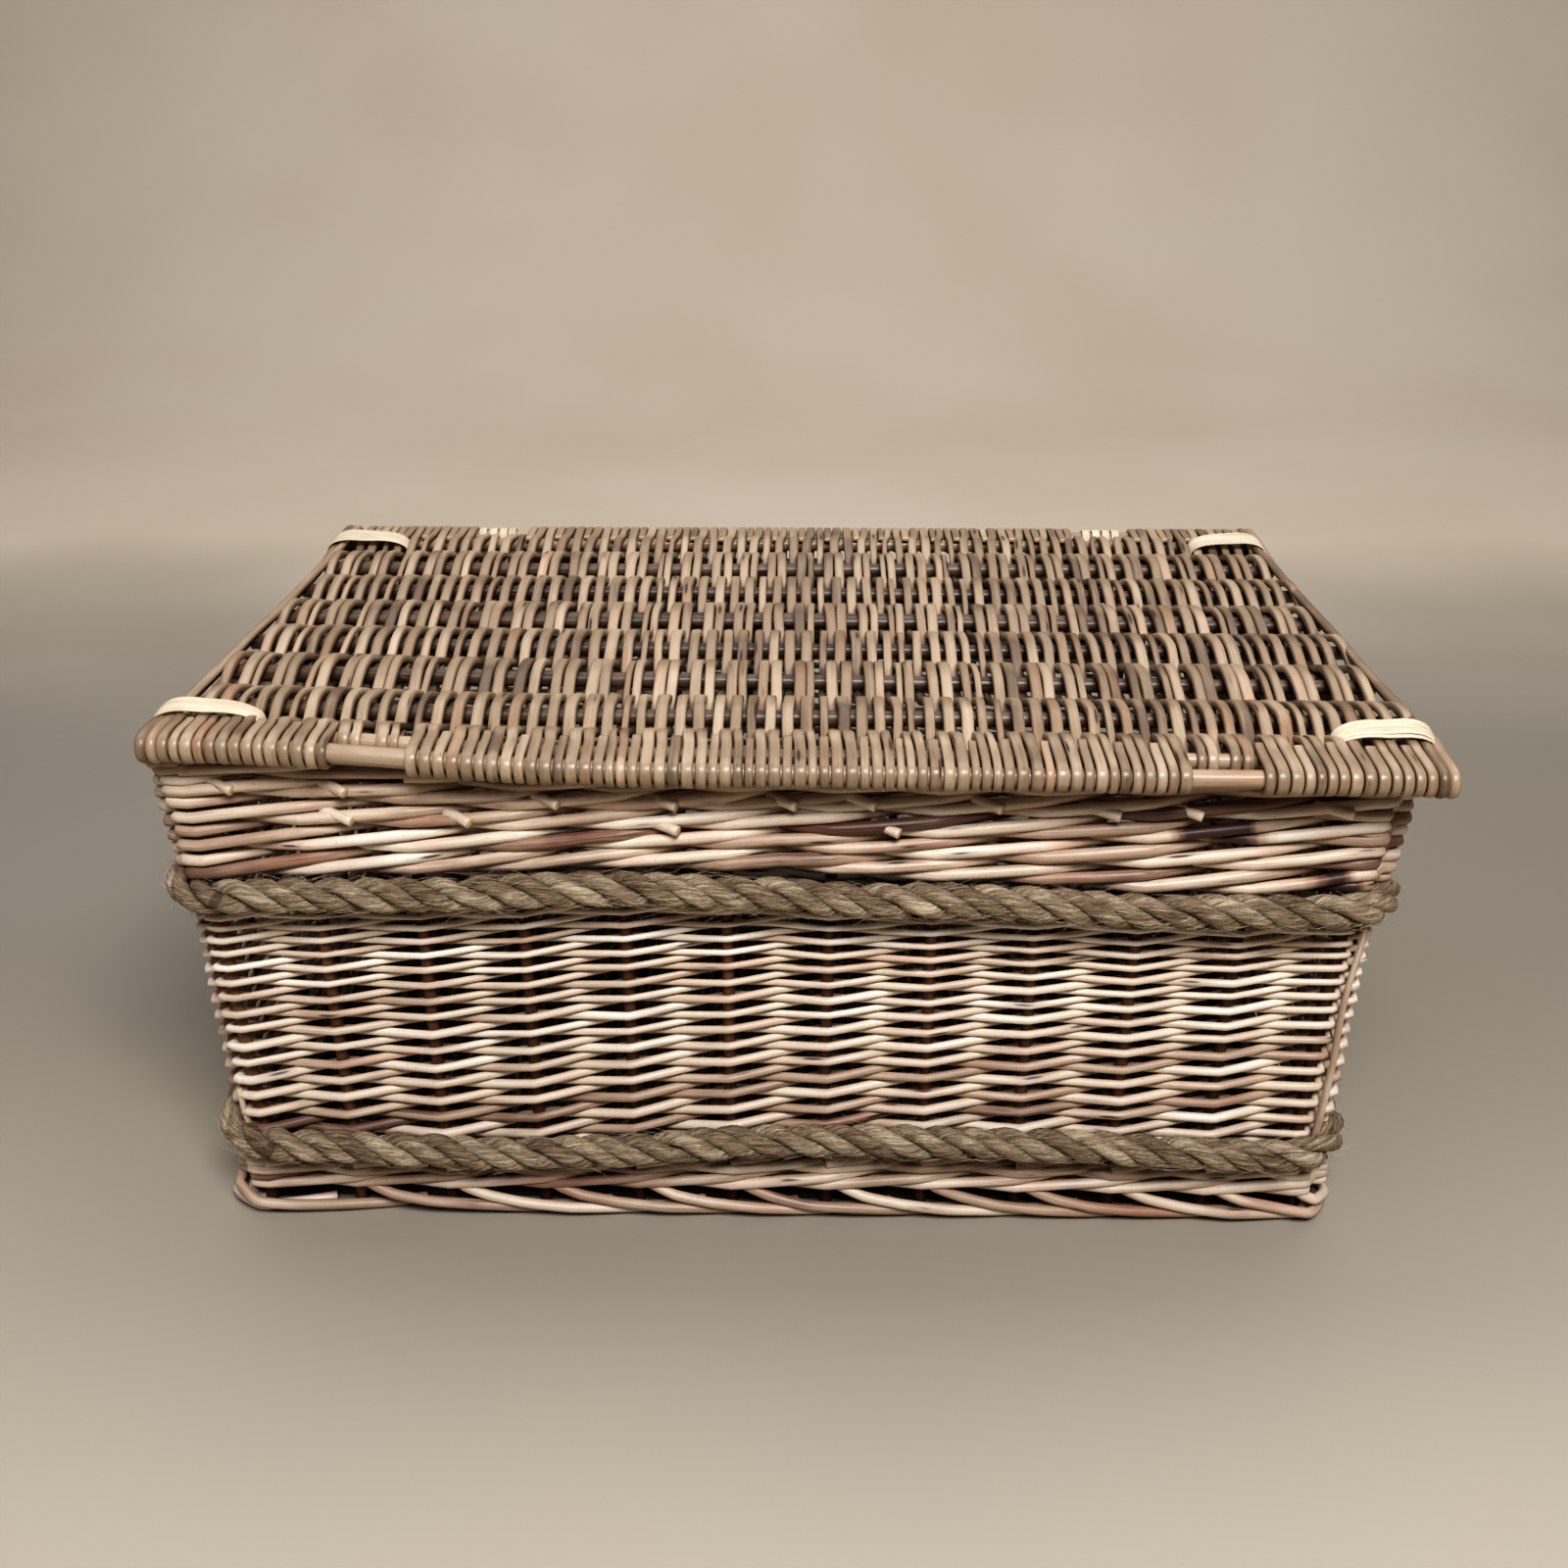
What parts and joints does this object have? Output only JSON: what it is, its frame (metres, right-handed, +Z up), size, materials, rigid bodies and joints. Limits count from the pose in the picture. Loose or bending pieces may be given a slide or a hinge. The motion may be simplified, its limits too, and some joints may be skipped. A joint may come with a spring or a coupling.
{
  "type": "laundry hamper with lid",
  "caption": "Low rectangular woven willow hamper with a hinged woven lid and two jute rope bands round its walls, for storing laundry.",
  "frame": {"origin": "on the floor, under the middle of the whole object with its lid closed", "axes": "+X along the long side to the right as seen from the front, -Y out of the front, +Z up"},
  "size_m": [0.7834, 0.483, 0.3563],
  "materials": {
    "willow_side": "satin peeled willow rods, woven",
    "willow_lid": "satin buff willow rods, woven",
    "willow_stake": "matt brown willow rods",
    "cane": "satin split cane",
    "jute_rope": "matt twisted jute with loose fibres"
  },
  "bodies": {
    "basket": {"back_foot_border": "willow_side", "back_lower_wale": "willow_side", "back_rim_border": "willow_side", "back_stakes": "willow_stake", "back_upper_wale": "willow_side", "back_weave": "willow_side", "base_back_rail": "willow_side", "base_front_rail": "willow_side", "base_sticks": "willow_side", "base_weave": "willow_side", "corner_posts": "willow_stake", "front_foot_border": "willow_side", "front_lower_wale": "willow_side", "front_rim_border": "willow_side", "front_stakes": "willow_stake", "front_upper_wale": "willow_side", "front_weave": "willow_side", "hinge_loop_left": "cane", "hinge_loop_right": "cane", "left_foot_border": "willow_side", "left_lower_wale": "willow_side", "left_rim_border": "willow_side", "left_stakes": "willow_stake", "left_upper_wale": "willow_side", "left_weave": "willow_side", "lower_rope": "jute_rope", "right_foot_border": "willow_side", "right_lower_wale": "willow_side", "right_rim_border": "willow_side", "right_stakes": "willow_stake", "right_upper_wale": "willow_side", "right_weave": "willow_side", "upper_rope": "jute_rope"},
    "lid": {"back_left_corner_binding": "cane", "back_right_corner_binding": "cane", "front_left_corner_binding": "cane", "front_right_corner_binding": "cane", "lid_back_inner_rail": "willow_lid", "lid_back_rail": "willow_lid", "lid_back_wrap": "willow_lid", "lid_front_inner_rail": "willow_lid", "lid_front_rail": "willow_lid", "lid_front_wrap": "willow_lid", "lid_stick_1": "willow_lid", "lid_stick_2": "willow_lid", "lid_stick_3": "willow_lid", "lid_stick_4_pair": "willow_lid", "lid_stick_5": "willow_lid", "lid_stick_6": "willow_lid", "lid_weave": "willow_lid"}
  },
  "joints": [
    {"name": "lid_hinge", "type": "hinge", "parent": "basket", "child": "lid", "pos_m": [0.00775, 0.227, 0.343], "axis": [-1, 0, 0], "range_deg": [0, 225]}
  ]
}
